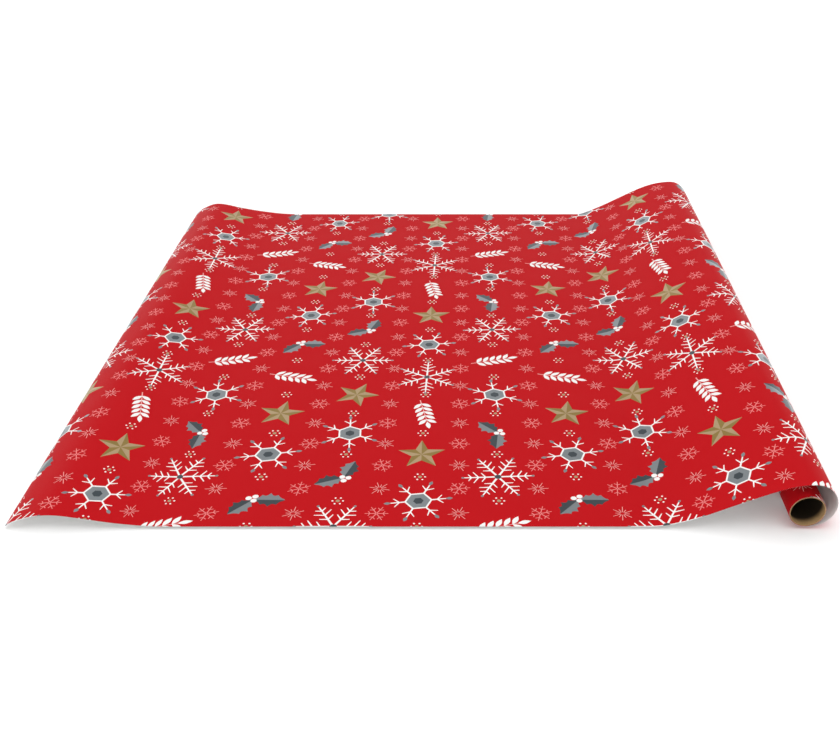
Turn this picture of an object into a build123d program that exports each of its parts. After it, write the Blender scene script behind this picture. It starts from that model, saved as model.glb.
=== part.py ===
from build123d import *
import math
import os

# Wrapping paper roll, partly unrolled on a table. Millimetres.
# X runs along the unrolled web, from the free end to the roll.
# Y runs along the roll's axis, Z is up, and the table is Z = 0.

# ---------------------------------------------------------------- sizes
WIDTH = 762.0            # web width, the length of the roll (30 in)
PAPER = 0.09             # thickness of the printed paper
REPEAT = 304.8           # one repeat of the print (12 in)

CORE_BORE = 31.0         # inside diameter of the cardboard core
PLY = 0.22               # thickness of one wound ply of the core
GLUE = 0.08              # double-sided strip that starts the web on the core
GLUE_ROOM = 0.1          # room it makes between the core and the first turn
GLUE_ARC = 40.0          # degrees of the core that the strip covers
GLUE_STEPS = 8           # straight steps of that arc
TURNS = 5                # turns of paper left on the core, each one paper thick

# The web's unprinted side: X from the free edge, height, and slope.
ARCH = [
    (0.0, 0.0, 0.95),
    (16.0, 9.4, 0.38),
    (39.0, 15.2, 0.0),
    (72.0, 9.8, -0.20),
    (108.0, 3.6, -0.13),
    (150.0, 0.0, 0.0),
]
RAMP = [
    (590.0, 0.0, 0.0),
    (624.0, 8.6, 0.38),
    (656.0, 23.4, 0.50),
    (682.0, 36.1, 0.45),
    (706.0, 45.4, 0.31),
    (732.0, 49.91, 0.0),
]
SPAN_STEPS = 8           # straight steps between two of those points

LOOP_R = 25.0            # outside radius of the loose outer turn
LOOP_STEPS = 48          # straight steps of its half circle
NIP_X = 730.5            # the loose turn joins the wound paper here, on the table
NIP = 0.3                # the wound paper's clearance over the loose turn

# ---------------------------------------------------------------- derived
r0 = CORE_BORE / 2
r1 = r0 + PLY
r2 = r1 + PLY
r3 = r2 + PLY
r_start = r3 + GLUE_ROOM
r_roll = r_start + TURNS * PAPER
roll_x = NIP_X
roll_z = PAPER + NIP + r_roll
middle_end = RAMP[0][0]
middle_start = middle_end - REPEAT
loop_x = RAMP[-1][0]


def smooth(knots):
    """Points on the cubic curve that has the given heights and slopes."""
    out = [knots[0][:2]]
    for (xa, za, ka), (xb, zb, kb) in zip(knots, knots[1:]):
        run = xb - xa
        for i in range(1, SPAN_STEPS + 1):
            t = i / SPAN_STEPS
            rise = (3 - 2 * t) * t * t
            lead = t * (1 - t) ** 2 * ka * run
            tail = (t - 1) * t * t * kb * run
            out.append((xa + t * run, za + (zb - za) * rise + lead + tail))
    return out


def strip(points, thick, square=()):
    """A bent sheet: the outline between a line and its offset, run along Y.

    The line is the unprinted side, so the offset grows upwards on the table
    and outwards round the loose turn. The ends named in square are cut
    upright, where two lengths of the web meet.
    """
    upper = []
    for i, (x, z) in enumerate(points):
        a = points[max(i - 1, 0)]
        b = points[min(i + 1, len(points) - 1)]
        dx = b[0] - a[0]
        dz = b[1] - a[1]
        if (i == 0 and "start" in square) or (i == len(points) - 1 and "end" in square):
            dz = 0.0
        n = math.hypot(dx, dz)
        upper.append((x - dz / n * thick, z + dx / n * thick))
    outline = list(points) + upper[::-1]
    return across(outline)


def across(outline):
    """A closed outline in the X-Z plane, run over the whole width."""
    face = make_face(Polyline(*[Vector(x, -WIDTH / 2, z) for x, z in outline], close=True))
    return extrude(face, WIDTH, dir=(0, 1, 0))


def tube(inner, outer):
    """One round layer of the roll, along Y, about the roll's axis."""
    ring = Circle(outer) - Circle(inner)
    solid = extrude(ring, WIDTH / 2, both=True)
    return Pos(roll_x, 0, roll_z) * Rot(90, 0, 0) * solid


# ---------------------------------------------------------------- the printed web
# The free end keeps the curl of the roll: its edge is on the table and the
# paper behind it stands up in a low arch.
free_end = strip(smooth(ARCH) + [(middle_start, 0.0)], PAPER, ("end",))

# One print repeat of flat paper, the length that is wound up or let out.
middle = strip([(middle_start, 0.0), (middle_end, 0.0)], PAPER)

# The paper climbs to the top of the roll and goes loosely round it, over the
# right-hand side and back underneath, where it joins the tight turns.
inner_r = LOOP_R - PAPER
bow = []
for i in range(1, LOOP_STEPS + 1):
    a = math.radians(90 - 180 * i / LOOP_STEPS)
    bow.append((loop_x + inner_r * math.cos(a), LOOP_R + inner_r * math.sin(a)))
turn = strip(smooth(RAMP) + bow + [(NIP_X, PAPER)], PAPER, ("start", "end"))

# ---------------------------------------------------------------- the roll
# A spiral-wound core of three cardboard plies, the strip that holds the
# web's first turn, and the tight turns of paper.
inner_ply = tube(r0, r1)
middle_ply = tube(r1, r2)
outer_ply = tube(r2, r3)
wound = tube(r_start, r_roll)

glue_in = r3 / math.cos(math.radians(GLUE_ARC / GLUE_STEPS / 2))
glue_out = glue_in + GLUE
bends = [math.radians(GLUE_ARC * (i / GLUE_STEPS - 0.5)) for i in range(GLUE_STEPS + 1)]
under = [(roll_x + glue_in * math.cos(a), roll_z + glue_in * math.sin(a)) for a in bends]
over = [(roll_x + glue_out * math.cos(a), roll_z + glue_out * math.sin(a)) for a in bends]
glue = across(under + over[::-1])

nodes = {
    "sheet_free_end": free_end,
    "sheet_middle": middle,
    "outer_turn": turn,
    "wound_paper": wound,
    "start_strip": glue,
    "core_outer_ply": outer_ply,
    "core_middle_ply": middle_ply,
    "core_inner_ply": inner_ply,
}

# ---------------------------------------------------------------- one frame for all
# The origin is on the table, under the middle of the whole object.
low = min(s.bounding_box().min.X for s in nodes.values())
high = max(s.bounding_box().max.X for s in nodes.values())
shift = -(low + high) / 2

os.makedirs("parts", exist_ok=True)
for name, solid in nodes.items():
    export_step(Pos(shift, 0, 0) * solid, f"parts/{name}.step")

print("shift", round(shift, 4), "low", round(low + shift, 4), "high", round(high + shift, 4))
print("roll axis", round(roll_x + shift, 4), round(roll_z, 4), "wound radius", round(r_roll, 4))
print("middle", round(middle_start + shift, 4), round(middle_end + shift, 4))
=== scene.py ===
"""A roll of printed gift wrap, partly unrolled: the looks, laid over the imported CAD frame."""

import math

import bpy
import numpy as np
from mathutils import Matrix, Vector
from mathutils.geometry import delaunay_2d_cdt


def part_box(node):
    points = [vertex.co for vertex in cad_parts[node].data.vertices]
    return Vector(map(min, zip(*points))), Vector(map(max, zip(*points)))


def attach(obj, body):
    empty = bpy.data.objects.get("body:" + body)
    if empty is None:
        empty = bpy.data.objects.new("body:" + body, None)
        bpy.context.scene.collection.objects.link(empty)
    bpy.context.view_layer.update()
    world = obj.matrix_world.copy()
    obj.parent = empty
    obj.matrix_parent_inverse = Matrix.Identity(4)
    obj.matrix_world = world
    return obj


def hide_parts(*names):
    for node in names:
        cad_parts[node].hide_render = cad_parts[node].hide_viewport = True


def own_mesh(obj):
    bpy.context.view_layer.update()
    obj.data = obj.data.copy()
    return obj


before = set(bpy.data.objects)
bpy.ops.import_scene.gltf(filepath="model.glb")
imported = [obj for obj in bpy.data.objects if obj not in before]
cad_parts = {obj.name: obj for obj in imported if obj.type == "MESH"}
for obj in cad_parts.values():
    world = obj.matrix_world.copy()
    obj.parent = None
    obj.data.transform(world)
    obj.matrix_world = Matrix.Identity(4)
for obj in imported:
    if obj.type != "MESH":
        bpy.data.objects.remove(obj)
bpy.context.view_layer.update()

MM = 0.001

# ---------------------------------------------------------------- sizes, in millimetres
WIDTH = 762.0           # web width
PAPER = 0.09            # paper thickness
MIDDLE = 304.8          # flat length that is wound up or let out
REPEAT = 304.8          # one repeat of the print, along and across the web
STEPS = 8               # straight steps between two points of the web's profile

# The web's unprinted side at its near and far edges: X from the free edge, height, slope.
ARCH_NEAR = [
    (0.0, 0.0, 0.85),
    (17.0, 8.4, 0.33),
    (42.0, 13.0, 0.0),
    (74.0, 8.6, -0.18),
    (106.0, 3.2, -0.12),
    (142.0, 0.0, 0.0),
]
ARCH_FAR = [
    (0.0, 0.0, 1.1),
    (14.0, 10.6, 0.48),
    (36.0, 17.4, 0.0),
    (69.0, 11.2, -0.21),
    (105.0, 4.6, -0.15),
    (158.0, 0.0, 0.0),
]
RAMP_NEAR = [
    (590.0, 0.0, 0.0),
    (622.0, 6.2, 0.32),
    (655.0, 20.0, 0.47),
    (681.0, 31.6, 0.44),
    (706.0, 41.8, 0.34),
    (733.0, 46.9, 0.0),
]
RAMP_FAR = [
    (590.0, 0.0, 0.0),
    (622.0, 10.6, 0.44),
    (653.0, 26.0, 0.52),
    (680.0, 39.8, 0.46),
    (704.0, 49.0, 0.28),
    (731.5, 52.9, 0.0),
]
LOOP_STEPS = 56
NIP_X = 730.5           # where the loose turn joins the tight turns, on the table

ROLL_R = 16.71          # radius over the tight turns
ROLL_Z = 17.10          # height of the roll's axis
FIRST_R = 16.26         # radius where the paper starts on the core
TURNS = 5
CORE_R = 15.5
PLY = 0.22
PLY_LEAD = 118.0        # how far along the core one wind of a ply goes
BUCKLE_SPACING = 70.0   # slow buckles in the laid paper
BUCKLE_HEIGHT = 0.9
LAP = 0.998             # share of the full circle that the last tight turn covers

low_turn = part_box("outer_turn")[0]
SHIFT = low_turn.x / MM - RAMP_NEAR[0][0]     # from the free edge to the middle of the object
NEAR_Y = low_turn.y / MM


# ---------------------------------------------------------------- the web's profile
def smooth(knots):
    """Points on the cubic curve with the given heights and slopes."""
    out = [knots[0][:2]]
    for (xa, za, ka), (xb, zb, kb) in zip(knots, knots[1:]):
        run = xb - xa
        for i in range(1, STEPS + 1):
            t = i / STEPS
            rise = (3 - 2 * t) * t * t
            lead = t * (1 - t) ** 2 * ka * run
            tail = (t - 1) * t * t * kb * run
            out.append((xa + t * run, za + (zb - za) * rise + lead + tail))
    return out


def profile(arch, ramp):
    """The web from its free edge to the nip, seen end on."""
    top_x, top_z = ramp[-1][:2]
    middle_z = (top_z + PAPER) / 2
    radius = (top_z - PAPER) / 2
    loop = []
    for i in range(1, LOOP_STEPS + 1):
        a = math.radians(90 - 180 * i / LOOP_STEPS)
        loop.append((top_x + radius * math.cos(a), middle_z + radius * math.sin(a)))
    flat = [(ramp[0][0] - MIDDLE, 0.0)]
    return np.array(smooth(arch) + flat + smooth(ramp) + loop + [(NIP_X, PAPER)])


def normals_along(line, upright=()):
    """Unit normals on the printed side of a line."""
    step = np.gradient(line, axis=0)
    for i in upright:
        step[i] = (1.0, 0.0)
    step /= np.linalg.norm(step, axis=1)[:, None]
    return np.stack([-step[:, 1], step[:, 0]], axis=1)


ARCH_COUNT = (len(ARCH_NEAR) - 1) * STEPS + 1
MIDDLE_AT = ARCH_COUNT              # station where the middle of the web starts
RAMP_AT = ARCH_COUNT + 1            # station where the ramp starts
near = profile(ARCH_NEAR, RAMP_NEAR)
far = profile(ARCH_FAR, RAMP_FAR)
flat_joins = (ARCH_COUNT - 1, MIDDLE_AT, RAMP_AT)
near_normals = normals_along(near, flat_joins)
far_normals = normals_along(far, flat_joins)
lengths = np.linalg.norm(np.diff((near + far) / 2, axis=0), axis=1)
along = np.concatenate([[0.0], np.cumsum(lengths)])     # length of web at each station
WEB_END = along[-1]


def on_web(u, y):
    """Where a point of the web lies, and which way its printed side faces."""
    share = np.clip(y / WIDTH, 0, 1)[:, None]
    points = []
    faces = []
    for line, normal in ((near, near_normals), (far, far_normals)):
        points.append(np.stack([np.interp(u, along, line[:, k]) for k in (0, 1)], axis=1))
        faces.append(np.stack([np.interp(u, along, normal[:, k]) for k in (0, 1)], axis=1))
    point = points[0] * (1 - share) + points[1] * share
    face = faces[0] * (1 - share) + faces[1] * share
    face /= np.linalg.norm(face, axis=1)[:, None]
    return in_frame(point, y), np.stack([face[:, 0], np.zeros(len(u)), face[:, 1]], axis=1)


def on_roll(u, y):
    """The same for the last tight turn, which starts underneath and climbs the near-left side."""
    a = (u - WEB_END) / ROLL_R
    inner = ROLL_R - PAPER
    point = np.stack([NIP_X - inner * np.sin(a), ROLL_Z - inner * np.cos(a)], axis=1)
    return in_frame(point, y), np.stack([-np.sin(a), np.zeros(len(u)), -np.cos(a)], axis=1)


def in_frame(point, y):
    """A point of the profile and its place across the web, as a place in the shared frame."""
    return np.stack([point[:, 0] + SHIFT, y + NEAR_Y, point[:, 1]], axis=1)


# ---------------------------------------------------------------- the print's drawings
# A drawing is a list of (ink, outline), painted in order, in millimetres.
RED, WHITE, PINK, BLUSH, SILVER, SLATE, GOLD, BRONZE, BACK = range(9)


def polar(r, degrees):
    """The point at a distance and an angle from the centre."""
    a = math.radians(degrees)
    return (r * math.cos(a), r * math.sin(a))


def disc(ink, x, y, r, sides=8):
    """A dot, or a plate with as many sides as are given."""
    turn = 360 / sides
    return (ink, [(x + polar(r, i * turn)[0], y + polar(r, i * turn)[1]) for i in range(sides)])


def leaf(ink, degrees, start, end, half):
    """A pointed oval on a ray from the centre."""
    a = math.radians(degrees)
    c, s = math.cos(a), math.sin(a)
    run = end - start
    steps = 5
    upper = [(start + run * i / steps, half * math.sin(math.pi * i / steps)) for i in range(steps + 1)]
    lower = [(x, -y) for x, y in upper]
    outline = lower + upper[-2:0:-1]
    return (ink, [(x * c - y * s, x * s + y * c) for x, y in outline])


def stroke(ink, points, width, taper=1.0):
    """A drawn line of even or tapering width."""
    left = []
    right = []
    for i, (x, y) in enumerate(points):
        xa, ya = points[max(i - 1, 0)]
        xb, yb = points[min(i + 1, len(points) - 1)]
        n = math.hypot(xb - xa, yb - ya)
        half = width / 2 * (1 + (taper - 1) * i / (len(points) - 1))
        ox, oy = -(yb - ya) / n * half, (xb - xa) / n * half
        left.append((x + ox, y + oy))
        right.append((x - ox, y - oy))
    return (ink, right + left[::-1])


def moved(drawing, x=0.0, y=0.0, degrees=0.0):
    """A drawing turned about its centre and then moved."""
    a = math.radians(degrees)
    c, s = math.cos(a), math.sin(a)
    out = []
    for ink, line in drawing:
        out.append((ink, [(px * c - py * s + x, px * s + py * c + y) for px, py in line]))
    return out


def branched_flake():
    """A plain six-armed snowflake with three pairs of side branches on each arm."""
    out = []
    for k in range(6):
        a = 60 * k
        out.append(stroke(WHITE, [polar(1, a), polar(33, a)], 2.2, 0.6))
        for start, length in ((12, 8), (19, 10), (26, 6)):
            x, y = polar(start, a)
            for sign in (1, -1):
                dx, dy = polar(length, a + 60 * sign)
                out.append(stroke(WHITE, [(x, y), (x + dx, y + dy)], 1.6, 0.6))
        out.append(disc(SILVER, *polar(34.5, a), 1.5))
    out.append(disc(SLATE, 0, 0, 3.6, 6))
    return out


def plate_flake():
    """A snowflake with a six-sided plate in the middle and a drop on each short arm."""
    out = []
    for k in range(6):
        a = 60 * k
        out.append(stroke(WHITE, [polar(12, a), polar(27, a)], 1.8, 0.7))
        x, y = polar(18, a)
        for sign in (1, -1):
            dx, dy = polar(8, a + 50 * sign)
            out.append(stroke(WHITE, [(x, y), (x + dx, y + dy)], 1.5, 0.6))
        out.append(leaf(SILVER, a, 26, 33, 1.9))
    for ink, radius in ((WHITE, 13.5), (SILVER, 11.5), (SLATE, 5.0)):
        out.append(disc(ink, 0, 0, radius, 6))
    return out


def small_flake():
    """A small six-armed snowflake with one pair of side branches on each arm."""
    out = []
    for k in range(6):
        a = 60 * k
        out.append(stroke(PINK, [polar(0.6, a), polar(11, a)], 1.0, 0.7))
        x, y = polar(6, a)
        for sign in (1, -1):
            dx, dy = polar(3.6, a + 60 * sign)
            out.append(stroke(PINK, [(x, y), (x + dx, y + dy)], 0.8))
    return out


def star():
    """A five-pointed star, folded along each point: tan on one side, dark gold on the other."""
    out = []
    for k in range(5):
        tip = polar(25, 72 * k)
        for ink, sign in ((GOLD, 1), (BRONZE, -1)):
            corner = polar(10.5, 72 * k + 36 * sign)
            out.append((ink, [(0.0, 0.0), tip, corner][::sign]))
    return out


def holly_leaf(length, half):
    """A spiny leaf along +X: silver on its upper half, slate on the lower."""
    edge = []
    for i in range(25):
        t = i / 24
        spine = 1.0 - 0.35 * abs(math.sin(4 * math.pi * t))
        edge.append((length * t, half * spine * math.sin(math.pi * t)))
    return [(SILVER, edge[::-1]), (SLATE, [(x, -y) for x, y in edge])]


def holly():
    """Two spiny leaves and three berries."""
    out = []
    for degrees in (25, 155):
        out += moved(holly_leaf(29, 10.5), 0, -2, degrees)
    for k in range(3):
        x, y = polar(3.6, 120 * k + 90)
        out.append(disc(WHITE, x, y - 4, 3.0))
    return out


def sprig():
    """A straight stem with five pairs of leaves and one at its tip."""
    out = [stroke(BLUSH, [(-27, 0), (18, 0)], 1.2, 0.6)]
    for i in range(5):
        for sign in (1, -1):
            out += moved([leaf(WHITE, 0, 0, 13, 2.6)], -20 + 8 * i, 0, 48 * sign)
    out.append(leaf(WHITE, 0, 17, 30, 2.6))
    return out


def sparkle():
    """Thin rays, long and short by turns."""
    out = []
    for k in range(12):
        a = 30 * k
        out.append(stroke(BLUSH, [polar(2, a), polar(6.5 if k % 2 else 10, a)], 0.6))
    return out


def dot_ring():
    """Six dots round a larger one."""
    ring = [disc(WHITE, *polar(5, 60 * k), 1.0) for k in range(6)]
    return ring + [disc(GOLD, 0, 0, 2.0)]


# The print is a half-drop lattice: a large drawing in each cell, two smaller
# ones between it and the next column, and a ring of dots between two rows.
CELLS = 4                   # cells in one repeat, each way
LARGE = [branched_flake, holly, plate_flake, star, sprig]
SMALL = [small_flake, sparkle]
TURN_STEP = 47.0            # degrees by which each drawing is turned from the last


def one_repeat():
    """Every drawing of one repeat, turned, with its place."""
    cell = REPEAT / CELLS
    placed = []
    for column in range(CELLS):
        for row in range(CELLS):
            count = column * CELLS + row
            x = column * cell
            y = (row + column % 2 / 2) * cell
            large = LARGE[(2 * column + row) % len(LARGE)]
            placed.append((moved(large(), 0, 0, TURN_STEP * count), x, y))
            for k, small in enumerate(SMALL):
                side = cell / 4 * (1 - 2 * k)
                placed.append((moved(small(), 0, 0, TURN_STEP * count), x + cell / 2, y + side))
            placed.append((dot_ring(), x, y + cell / 2))
    return placed


REPEAT_DRAWINGS = one_repeat()
LARGEST = 36.0              # no drawing reaches further than this from its place


def drawings_between(start, end):
    """The outlines of every drawing that touches a length of the web."""
    out = []
    first = math.floor((start - LARGEST) / REPEAT) - 1
    last = math.ceil((end + LARGEST) / REPEAT)
    rows = math.ceil(WIDTH / REPEAT)
    for drawing, x, y in REPEAT_DRAWINGS:
        for i in range(first, last + 1):
            for j in range(-1, rows + 1):
                u = x + i * REPEAT
                v = y + j * REPEAT
                for ink, line in moved(drawing, u, v):
                    us = [p[0] for p in line]
                    vs = [p[1] for p in line]
                    if max(us) > start and min(us) < end and max(vs) > 0 and min(vs) < WIDTH:
                        out.append((ink, line))
    return out


# ---------------------------------------------------------------- materials
def linear(code):
    """An sRGB hex colour as linear RGBA."""
    parts = [int(code[i:i + 2], 16) / 255 for i in (1, 3, 5)]
    return [c / 12.92 if c <= 0.04045 else ((c + 0.055) / 1.055) ** 2.4 for c in parts] + [1.0]


def add(tree, kind, inputs=(), **settings):
    """Adds a node. An input is a plain value, or the socket that feeds it."""
    made = tree.nodes.new(kind)
    for key, value in settings.items():
        setattr(made, key, value)
    for key, value in dict(inputs).items():
        if isinstance(value, bpy.types.NodeSocket):
            tree.links.new(value, made.inputs[key])
        else:
            made.inputs[key].default_value = value
    return made


def new_material(name):
    """A material with an empty tree, its shader and its output."""
    made = bpy.data.materials.new(name)
    made.use_nodes = True
    tree = made.node_tree
    tree.nodes.clear()
    shader = add(tree, "ShaderNodeBsdfPrincipled")
    add(tree, "ShaderNodeOutputMaterial", {"Surface": shader.outputs[0]})
    return made, tree, shader


def sheet_surface(name, code, metallic, roughness, grain_mm, grain_depth, gloss=0.5):
    """Printed paper: an even ink, a fine grain in its gloss and relief, and slow buckles."""
    made, tree, shader = new_material(name)
    place = add(tree, "ShaderNodeTexCoord").outputs["Object"]
    grain = add(tree, "ShaderNodeTexNoise", {"Vector": place, "Scale": 1 / (grain_mm * MM), "Detail": 3.0})
    slow = add(tree, "ShaderNodeTexNoise", {
        "Vector": place,
        "Scale": 1 / (BUCKLE_SPACING * MM),
        "Detail": 1.0,
    })
    gloss_range = add(tree, "ShaderNodeMapRange", {
        "Value": grain.outputs["Fac"],
        "From Min": 0.3,
        "From Max": 0.7,
        "To Min": roughness[0],
        "To Max": roughness[1],
    })
    buckle = add(tree, "ShaderNodeBump", {
        "Height": slow.outputs["Fac"],
        "Strength": 1.0,
        "Distance": BUCKLE_HEIGHT * MM,
    })
    relief = add(tree, "ShaderNodeBump", {
        "Height": grain.outputs["Fac"],
        "Strength": 1.0,
        "Distance": grain_depth * MM,
        "Normal": buckle.outputs["Normal"],
    })
    shader.inputs["Base Color"].default_value = linear(code)
    shader.inputs["Metallic"].default_value = metallic
    shader.inputs["IOR"].default_value = 1.5
    shader.inputs["Specular IOR Level"].default_value = gloss
    tree.links.new(gloss_range.outputs["Result"], shader.inputs["Roughness"])
    tree.links.new(relief.outputs["Normal"], shader.inputs["Normal"])
    return made


def ink_set():
    """Gravure-printed gift wrap, in the order of the ink numbers."""
    return [
        # Clay-coated paper under a flood coat of red: nearly matt, with a faint satin sheen.
        sheet_surface("red_flood_ink", "#B71118", 0.0, (0.42, 0.58), 0.9, 0.030, 0.024),
        # Bare coating left white: a little rougher than the red, and clearer in its gloss.
        sheet_surface("white_coated_paper", "#ECEAE8", 0.0, (0.45, 0.60), 0.9, 0.012, 0.10),
        # A thin tint of the red.
        sheet_surface("pink_tint_ink", "#E0807F", 0.0, (0.40, 0.55), 0.9, 0.012, 0.10),
        # A thinner tint still.
        sheet_surface("blush_tint_ink", "#E2A29F", 0.0, (0.40, 0.55), 0.9, 0.012, 0.10),
        # Aluminium flake ink: a dull mirror that goes from dark to light with the angle.
        sheet_surface("silver_flake_ink", "#878D90", 0.95, (0.28, 0.44), 1.0, 0.045),
        # The same flakes in a dark base: slate where it mirrors nothing.
        sheet_surface("slate_flake_ink", "#464E53", 0.95, (0.28, 0.42), 1.0, 0.045),
        # Bronze powder ink in a light base: tan with a grainy glitter.
        sheet_surface("tan_powder_ink", "#AC9470", 0.55, (0.30, 0.55), 1.2, 0.050, 0.2),
        # The same powder printed solid: a dark old gold.
        sheet_surface("bronze_powder_ink", "#8F7840", 0.85, (0.28, 0.50), 1.1, 0.040),
        # The uncoated side: plain white and matt.
        sheet_surface("white_uncoated_back", "#ECEBE8", 0.0, (0.62, 0.78), 1.2, 0.020, 0.2),
    ]


def stacked_edges():
    """Turns of the paper seen from their cut edges: white body and red ink blend to a dull rose."""
    return sheet_surface("stacked_cut_edges", "#B86A62", 0.0, (0.62, 0.80), 0.4, 0.030, 0.15)


def chipboard(name, code, seam_at):
    """Spiral-wound chipboard: recycled fibres and a slanted butt joint, with painted shade that turns the
    board near black away from the cut ends.
    """
    made, tree, shader = new_material(name)
    place = add(tree, "ShaderNodeTexCoord").outputs["Object"]
    on_axis = add(tree, "ShaderNodeMapping", {
        "Vector": place,
        "Location": (-(NIP_X + SHIFT) * MM, 0.0, -ROLL_Z * MM),
    })
    split = add(tree, "ShaderNodeSeparateXYZ", {"Vector": on_axis.outputs["Vector"]})
    angle = add(tree, "ShaderNodeMath", {0: split.outputs["Z"], 1: split.outputs["X"]}, operation="ARCTAN2")
    turn = add(tree, "ShaderNodeMath", {0: angle.outputs[0], 1: 1 / math.tau}, operation="MULTIPLY")
    step = add(tree, "ShaderNodeMath", {0: split.outputs["Y"], 1: 1 / (PLY_LEAD * MM)}, operation="MULTIPLY")
    both = add(tree, "ShaderNodeMath", {0: turn.outputs[0], 1: step.outputs[0]}, operation="ADD")
    shifted = add(tree, "ShaderNodeMath", {0: both.outputs[0], 1: seam_at}, operation="ADD")
    part = add(tree, "ShaderNodeMath", {0: shifted.outputs[0], 1: 1.0}, operation="FLOORED_MODULO")
    off = add(tree, "ShaderNodeMath", {0: part.outputs[0], 1: 0.5}, operation="SUBTRACT")
    away = add(tree, "ShaderNodeMath", {0: off.outputs[0]}, operation="ABSOLUTE")
    seam = add(tree, "ShaderNodeMapRange", {
        "Value": away.outputs[0],
        "From Min": 0.5 / PLY_LEAD,
        "From Max": 1.1 / PLY_LEAD,
        "To Min": 1.0,
        "To Max": 0.0,
    })
    stretched = add(tree, "ShaderNodeMapping", {"Vector": place, "Scale": (1.0, 0.25, 1.0)})
    fibre = add(tree, "ShaderNodeTexNoise", {
        "Vector": stretched.outputs["Vector"],
        "Scale": 1 / (1.2 * MM),
        "Detail": 5.0,
        "Roughness": 0.65,
    })
    blotch = add(tree, "ShaderNodeTexNoise", {"Vector": place, "Scale": 1 / (9 * MM), "Detail": 2.0})
    ramp = add(tree, "ShaderNodeValToRGB", {"Fac": fibre.outputs["Fac"]})
    ramp.color_ramp.elements[0].position = 0.3
    ramp.color_ramp.elements[0].color = [c * 0.66 for c in linear(code)[:3]] + [1.0]
    ramp.color_ramp.elements[1].position = 0.7
    ramp.color_ramp.elements[1].color = linear(code)
    worn = add(tree, "ShaderNodeMix", {
        0: blotch.outputs["Fac"],
        6: ramp.outputs["Color"],
        7: [min(1.0, c * 1.18) for c in linear(code)[:3]] + [1.0],
    }, data_type="RGBA")
    lined = add(tree, "ShaderNodeMix", {
        0: seam.outputs["Result"],
        6: worn.outputs[2],
        7: [c * 0.30 for c in linear(code)[:3]] + [1.0],
    }, data_type="RGBA")
    # Painted shade: more than 11 mm in from either cut end the board is painted near black (#2E2519),
    # standing for the dark inside of the bore; within 3 mm of the ends it keeps its own colour.
    from_middle = add(tree, "ShaderNodeMath", {0: split.outputs["Y"]}, operation="ABSOLUTE")
    end_unshaded_share = add(tree, "ShaderNodeMapRange", {
        "Value": from_middle.outputs[0],
        "From Min": (WIDTH / 2 - 11.0) * MM,
        "From Max": (WIDTH / 2 - 3.0) * MM,
    }, interpolation_type="SMOOTHSTEP")
    board_painted_shade = add(tree, "ShaderNodeMix", {
        0: end_unshaded_share.outputs["Result"],
        6: linear("#2E2519"),
        7: lined.outputs[2],
    }, data_type="RGBA")
    height = add(tree, "ShaderNodeMath", {
        0: fibre.outputs["Fac"],
        1: seam.outputs["Result"],
    }, operation="SUBTRACT")
    relief = add(tree, "ShaderNodeBump", {
        "Height": height.outputs[0],
        "Strength": 0.7,
        "Distance": 0.12 * MM,
    })
    tree.links.new(board_painted_shade.outputs[2], shader.inputs["Base Color"])
    tree.links.new(relief.outputs["Normal"], shader.inputs["Normal"])
    shader.inputs["Roughness"].default_value = 0.88
    shader.inputs["Specular IOR Level"].default_value = 0.25
    return made


def strip_adhesive():
    """Double-sided film strip: slightly yellow, semi-gloss."""
    made, tree, shader = new_material("double_sided_film")
    place = add(tree, "ShaderNodeTexCoord").outputs["Object"]
    haze = add(tree, "ShaderNodeTexNoise", {"Vector": place, "Scale": 1 / (4 * MM), "Detail": 3.0})
    span = add(tree, "ShaderNodeMapRange", {"Value": haze.outputs["Fac"], "To Min": 0.25, "To Max": 0.55})
    shader.inputs["Base Color"].default_value = linear("#DDD6BE")
    tree.links.new(span.outputs["Result"], shader.inputs["Roughness"])
    return made


# ---------------------------------------------------------------- meshes
def finished(name, points, faces, inks, materials, normals=None):
    """A mesh object at the origin, from points in millimetres."""
    mesh = bpy.data.meshes.new(name)
    mesh.from_pydata((np.asarray(points) * MM).tolist(), [], faces)
    for material in materials:
        mesh.materials.append(material)
    mesh.polygons.foreach_set("material_index", np.asarray(inks, dtype=np.int32))
    mesh.polygons.foreach_set("use_smooth", [True] * len(mesh.polygons))
    if normals is not None:
        mesh.normals_split_custom_set_from_vertices(np.asarray(normals).tolist())
    mesh.update()
    made = bpy.data.objects.new(name, mesh)
    bpy.context.scene.collection.objects.link(made)
    return made


def ink_at(centres, outlines):
    """The ink at each place: the last outline painted over it, or the red ground."""
    inks = np.full(len(centres), RED)
    order = np.argsort(centres[:, 0])
    sorted_u = centres[order, 0]
    for ink, outline in outlines:
        corner = np.array(outline)
        low, high = corner.min(axis=0), corner.max(axis=0)
        first, last = np.searchsorted(sorted_u, (low[0], high[0]))
        near_it = order[first:last]
        v = centres[near_it, 1]
        near_it = near_it[(v > low[1]) & (v < high[1])]
        u, v = centres[near_it, 0], centres[near_it, 1]
        inside = np.zeros(len(near_it), dtype=bool)
        for (ua, va), (ub, vb) in zip(corner, np.roll(corner, -1, axis=0)):
            if va != vb:
                inside ^= ((va > v) != (vb > v)) & (u < ua + (v - va) * (ub - ua) / (vb - va))
        inks[near_it[inside]] = ink
    return inks


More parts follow.
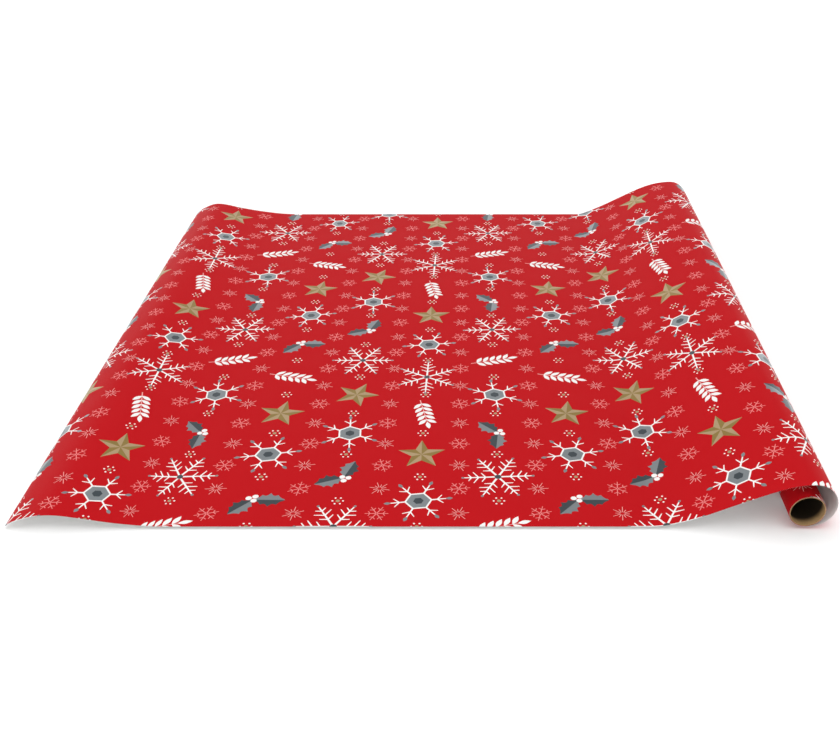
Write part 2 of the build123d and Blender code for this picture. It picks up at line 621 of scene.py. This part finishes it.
def printed_sheet(name, start, end, rulings, lay, inks):
    """A length of the web: a flat map of inks laid on the web's shape, with a back and edges."""
    points = [(start, 0.0), (end, 0.0), (end, WIDTH), (start, WIDTH)]
    edges = [(0, 1), (1, 2), (2, 3), (3, 0)]
    outlines = drawings_between(start, end)
    for ink, outline in outlines:
        first = len(points)
        count = len(outline)
        points += outline
        edges += [(first + i, first + (i + 1) % count) for i in range(count)]
    for u in rulings:
        if start + 0.01 < u < end - 0.01:
            edges.append((len(points), len(points) + 1))
            points += [(u, 0.0), (u, WIDTH)]
    flat, _, cells, _, _, _ = delaunay_2d_cdt([Vector(p) for p in points], edges, [], 0, 1e-3, False)
    flat = np.array([(p.x, p.y) for p in flat])
    cells = np.array(cells)
    centres = flat[cells].mean(axis=1)
    kept = (centres[:, 0] > start) & (centres[:, 0] < end)
    kept &= (centres[:, 1] > 0) & (centres[:, 1] < WIDTH)
    cells = cells[kept]
    used, tops = np.unique(cells, return_inverse=True)
    tops = tops.reshape(-1, 3)
    u, v = flat[used, 0], flat[used, 1]
    under, facing = lay(u, v)
    over = under + facing * PAPER
    count = len(used)
    sides = {(int(t[k]), int(t[(k + 1) % 3])) for t in tops for k in range(3)}
    rims = [[b, a, a + count, b + count] for a, b in sides if (b, a) not in sides]
    backs = (tops[:, ::-1] + count).tolist()
    all_inks = ink_at(centres[kept], outlines).tolist() + [BACK] * (len(backs) + len(rims))
    both_sides = np.concatenate([over, under])
    normals = np.concatenate([facing, -facing])
    return finished(name, both_sides, tops.tolist() + backs + rims, all_inks, inks, normals)


def lathe(name, section, material, sides=96):
    """A closed section (radius, Y) turned about the roll's axis."""
    points = []
    for i in range(sides):
        a = math.tau * i / sides
        for r, y in section:
            points.append((NIP_X + SHIFT + r * math.cos(a), y, ROLL_Z + r * math.sin(a)))
    n = len(section)
    faces = []
    for i in range(sides):
        for k in range(n):
            here, there = i * n, (i + 1) % sides * n
            faces.append([here + k, here + (k + 1) % n, there + (k + 1) % n, there + k])
    made = finished(name, points, faces, [0] * len(faces), [material])
    made.data.set_sharp_from_angle(angle=math.radians(35))
    return made


def ply(name, inner, outer, material, proud):
    """One ply of the core, with softly crushed ends. proud sets its end in or out a little."""
    end = WIDTH / 2 - 0.05 - proud
    soft = 0.05
    section = [
        (inner + soft, -end),
        (outer - soft, -end),
        (outer, -end + soft),
        (outer, 0.0),
        (outer, end - soft),
        (outer - soft, end),
        (inner + soft, end),
        (inner, end - soft),
        (inner, 0.0),
        (inner, -end + soft),
    ]
    return lathe(name, section, material)


def tight_turns(material):
    """Geometry Nodes: a ribbon of paper wound as a spiral about the roll's axis."""
    tree = bpy.data.node_groups.new("wound_ribbon", "GeometryNodeTree")
    face = tree.interface
    sockets = {}
    for label, kind in (
        ("First Radius", "NodeSocketFloat"),
        ("Last Radius", "NodeSocketFloat"),
        ("Turns", "NodeSocketFloat"),
        ("Steps Per Turn", "NodeSocketInt"),
        ("Paper Thickness", "NodeSocketFloat"),
        ("Web Width", "NodeSocketFloat"),
        ("Axis Place", "NodeSocketVector"),
        ("Material", "NodeSocketMaterial"),
    ):
        sockets[label] = face.new_socket(label, in_out="INPUT", socket_type=kind).identifier
    face.new_socket("Geometry", in_out="OUTPUT", socket_type="NodeSocketGeometry")
    given = add(tree, "NodeGroupInput").outputs
    spiral = add(tree, "GeometryNodeCurveSpiral", {
        "Resolution": given["Steps Per Turn"],
        "Rotations": given["Turns"],
        "Start Radius": given["First Radius"],
        "End Radius": given["Last Radius"],
        "Height": 0.0,
    })
    strip = add(tree, "GeometryNodeCurvePrimitiveQuadrilateral", {
        "Width": given["Paper Thickness"],
        "Height": given["Web Width"],
    })
    ribbon = add(tree, "GeometryNodeCurveToMesh", {
        "Curve": spiral.outputs["Curve"],
        "Profile Curve": strip.outputs["Curve"],
        "Fill Caps": True,
    })
    placed = add(tree, "GeometryNodeTransform", {
        "Geometry": ribbon.outputs["Mesh"],
        "Translation": given["Axis Place"],
        "Rotation": (math.radians(90), 0.0, 0.0),
    })
    real = add(tree, "GeometryNodeRealizeInstances", {"Geometry": placed.outputs["Geometry"]})
    coloured = add(tree, "GeometryNodeSetMaterial", {
        "Geometry": real.outputs["Geometry"],
        "Material": given["Material"],
    })
    add(tree, "NodeGroupOutput", {"Geometry": coloured.outputs["Geometry"]})

    holder = bpy.data.objects.new("ribbon_holder", bpy.data.meshes.new("ribbon_holder"))
    bpy.context.scene.collection.objects.link(holder)
    winding = holder.modifiers.new("winding", "NODES")
    winding.node_group = tree
    values = {
        "First Radius": (FIRST_R + PAPER / 2) * MM,
        "Last Radius": (ROLL_R - 1.6 * PAPER) * MM,
        "Turns": TURNS - 1.0,
        "Steps Per Turn": 48,
        "Paper Thickness": 0.070 * MM,
        "Web Width": (WIDTH - 0.1) * MM,
        "Axis Place": ((NIP_X + SHIFT) * MM, 0.0, ROLL_Z * MM),
        "Material": material,
    }
    for label, value in values.items():
        winding[sockets[label]] = value
    bpy.context.view_layer.update()
    evaluated = holder.evaluated_get(bpy.context.evaluated_depsgraph_get())
    mesh = bpy.data.meshes.new_from_object(evaluated)
    bpy.data.objects.remove(holder)
    made = bpy.data.objects.new("tight_turns", mesh)
    bpy.context.scene.collection.objects.link(made)
    return made


# ---------------------------------------------------------------- the pieces
inks = ink_set()

free_end = printed_sheet("free_end", 0.0, along[MIDDLE_AT], along, on_web, inks)
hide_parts("sheet_free_end")
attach(free_end, "laid_sheet")

middle = printed_sheet("middle", along[MIDDLE_AT], along[RAMP_AT], along, on_web, inks)
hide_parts("sheet_middle")
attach(middle, "laid_sheet")
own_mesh(middle)

loose_turn = printed_sheet("loose_turn", along[RAMP_AT], WEB_END, along, on_web, inks)
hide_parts("outer_turn")
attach(loose_turn, "loose_turn")

# The outermost tight turn shows its print, and its lap is underneath.
last_length = math.tau * ROLL_R * LAP
last_end = WEB_END + last_length
last_rulings = np.linspace(WEB_END, last_end, 73)
last_turn = printed_sheet("last_tight_turn", WEB_END, last_end, last_rulings, on_roll, inks)
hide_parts("wound_paper")
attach(last_turn, "roll")

turns = tight_turns(stacked_edges())
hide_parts("wound_paper")
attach(turns, "roll")

board = [
    chipboard("chipboard_inner_ply", "#B8966A", 0.10),
    chipboard("chipboard_middle_ply", "#A98A62", 0.43),
    chipboard("chipboard_outer_ply", "#B8966A", 0.76),
]
for k, (label, proud) in enumerate((("inner", 0.0), ("middle", 0.18), ("outer", 0.05))):
    inner = CORE_R + k * PLY
    made = ply(f"core_{label}", inner, inner + PLY - 0.01, board[k], proud)
    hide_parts(f"core_{label}_ply")
    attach(made, "roll")

start_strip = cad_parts["start_strip"]
start_strip.data.materials.clear()
start_strip.data.materials.append(strip_adhesive())


# ---------------------------------------------------------------- the stage
def floor():
    """A plain white board just under the object. It glows a little, so that it stays white far away."""
    made, tree, shader = new_material("matt_white_board")
    shader.inputs["Base Color"].default_value = linear("#F8F8F8")
    shader.inputs["Emission Color"].default_value = (1.0, 1.0, 1.0, 1.0)
    place = add(tree, "ShaderNodeTexCoord").outputs["Object"]
    far = add(tree, "ShaderNodeVectorMath", {0: place}, operation="LENGTH")
    glow = add(tree, "ShaderNodeMapRange", {
        "Value": far.outputs["Value"],
        "From Min": 0.45,
        "From Max": 0.95,
        "To Min": 0.08,
        "To Max": 0.34,
    }, interpolation_type="SMOOTHSTEP")
    tree.links.new(glow.outputs["Result"], shader.inputs["Emission Strength"])
    shader.inputs["Roughness"].default_value = 0.95
    shader.inputs["Specular IOR Level"].default_value = 0.0
    half = 9000.0
    height = -3.0
    corners = [(x * half, y * half, height) for x, y in ((-1, -1), (1, -1), (1, 1), (-1, 1))]
    ground = finished("floor", corners, [[0, 1, 2, 3]], [0], [made])


def soft_light(name, place, aim, size, power):
    """A square softbox that faces a point."""
    data = bpy.data.lights.new(name, "AREA")
    data.shape = "SQUARE"
    data.size = size
    data.energy = power
    made = bpy.data.objects.new(name, data)
    made.location = place
    made.rotation_euler = (Vector(place) - Vector(aim)).to_track_quat("Z", "Y").to_euler()
    bpy.context.scene.collection.objects.link(made)


def sky():
    """Studio surroundings: a bright far wall, dim above it and in front, and a lit ceiling.

    They light the object, and the backdrop itself is plain white.
    """
    world = bpy.data.worlds.new("studio")
    world.use_nodes = True
    tree = world.node_tree
    tree.nodes.clear()
    way = add(tree, "ShaderNodeTexCoord").outputs["Generated"]
    split = add(tree, "ShaderNodeSeparateXYZ", {"Vector": way})
    band = add(tree, "ShaderNodeMapRange", {
        "Value": split.outputs["Z"],
        "From Min": 0.34,
        "From Max": 0.62,
        "To Min": 1.75,
        "To Max": 0.16,
    }, interpolation_type="SMOOTHSTEP")
    side = add(tree, "ShaderNodeMapRange", {
        "Value": split.outputs["Y"],
        "From Min": -0.9,
        "From Max": 0.3,
        "To Min": 0.14,
        "To Max": 1.0,
    }, interpolation_type="SMOOTHSTEP")
    ceiling = add(tree, "ShaderNodeMapRange", {
        "Value": split.outputs["Z"],
        "From Min": 0.74,
        "From Max": 0.86,
        "To Min": 0.0,
        "To Max": 1.56,
    }, interpolation_type="SMOOTHSTEP")
    walls = add(tree, "ShaderNodeMath", {
        0: band.outputs["Result"],
        1: side.outputs["Result"],
    }, operation="MULTIPLY")
    whole = add(tree, "ShaderNodeMath", {
        0: walls.outputs[0],
        1: ceiling.outputs["Result"],
    }, operation="ADD")
    white = (1.0, 1.0, 1.0, 1.0)
    back = add(tree, "ShaderNodeBackground", {"Color": white, "Strength": whole.outputs[0]})
    plain = add(tree, "ShaderNodeBackground", {"Color": white, "Strength": 1.0})
    seen = add(tree, "ShaderNodeLightPath").outputs["Is Camera Ray"]
    shown = add(tree, "ShaderNodeMixShader", {0: seen, 1: back.outputs[0], 2: plain.outputs[0]})
    add(tree, "ShaderNodeOutputWorld", {"Surface": shown.outputs[0]})
    bpy.context.scene.world = world


floor()
sky()
soft_light("front_top", (0.15, -0.85, 2.3), (0.1, -0.2, 0.0), 1.3, 6.0)
soft_light("front_low", (-0.2, -1.8, 0.9), (0.3, -0.35, 0.0), 0.7, 5.0)
soft_light("back_top", (-0.2, 1.1, 2.2), (0.0, 0.3, 0.0), 1.2, 5.0)

camera_data = bpy.data.cameras.new("camera")
camera_data.sensor_width = 36.0
camera_data.lens = 43.7
camera_data.shift_x = -0.0583
camera = bpy.data.objects.new("camera", camera_data)
camera.location = (0.0455, -1.1115, 0.5944)
camera.rotation_euler = (math.radians(90 - 30.4), 0.0, 0.0)
bpy.context.scene.collection.objects.link(camera)
bpy.context.scene.camera = camera
bpy.context.scene.view_settings.view_transform = "Standard"
